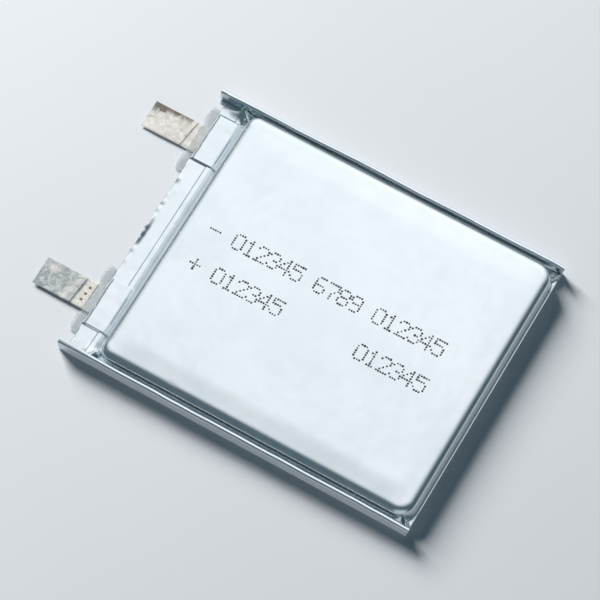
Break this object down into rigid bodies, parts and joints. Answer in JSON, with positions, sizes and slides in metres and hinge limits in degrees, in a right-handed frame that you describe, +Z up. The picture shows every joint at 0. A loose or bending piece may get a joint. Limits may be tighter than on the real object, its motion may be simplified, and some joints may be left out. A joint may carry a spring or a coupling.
{
  "type": "pouch battery cell",
  "caption": "Flat pouch battery cell: drawn foil cup with upturned side seals and a sealed terrace, a wound electrode roll inside, and foil tabs that bend at their creases.",
  "frame": {"origin": "centre of the flat underside that the cell rests on, midway along and across the folded side seals", "axes": "+Y towards the tab end, +X towards the side of the negative tab, +Z up, out of the drawn face"},
  "size_m": [0.0408, 0.0576, 0.003],
  "materials": {
    "laminate": "satin nylon-faced foil",
    "tab_nickel": "rolled nickel, lightly stained",
    "tab_aluminium": "rolled",
    "weld": "heat-tinted spot welds",
    "sealant_film": "clear polypropylene film",
    "anode": "matte graphite coating",
    "cathode": "matte oxide coating",
    "separator": "porous white film",
    "copper_foil": "bare copper foil",
    "aluminium_foil": "bare foil",
    "insulating_tape": "amber polyimide tape"
  },
  "bodies": {
    "cell": {"pouch_cup": "laminate", "pouch_back": "laminate", "left_side_seal": "laminate", "right_side_seal": "laminate", "positive_tab": "tab_aluminium", "positive_tab_plate": "tab_nickel", "positive_weld_spots": "weld", "positive_upper_film": "sealant_film", "positive_lower_film": "sealant_film", "negative_tab": "tab_nickel", "negative_upper_film": "sealant_film", "negative_lower_film": "sealant_film", "anode_sheet": "anode", "cathode_sheet": "cathode", "inner_separator": "separator", "outer_separator": "separator", "anode_lead": "copper_foil", "cathode_lead": "aluminium_foil", "positive_foil_welds": "weld", "negative_foil_welds": "weld", "positive_tab_tape": "insulating_tape", "negative_tab_tape": "insulating_tape", "roll_end_tape": "insulating_tape"},
    "positive_tab_end": {"positive_tab_end": "tab_nickel"},
    "negative_tab_end": {"negative_tab_end": "tab_nickel"}
  },
  "joints": [
    {"name": "positive_tab_bend", "type": "hinge", "parent": "cell", "child": "positive_tab_end", "pos_m": [-0.0124, 0.02682, 0.00036], "axis": [0.995, -0.0995, 0], "range_deg": [0, 135]},
    {"name": "negative_tab_bend", "type": "hinge", "parent": "cell", "child": "negative_tab_end", "pos_m": [0.0135, 0.02598, 0.00026], "axis": [0.9917, -0.1289, 0], "range_deg": [0, 135]}
  ]
}
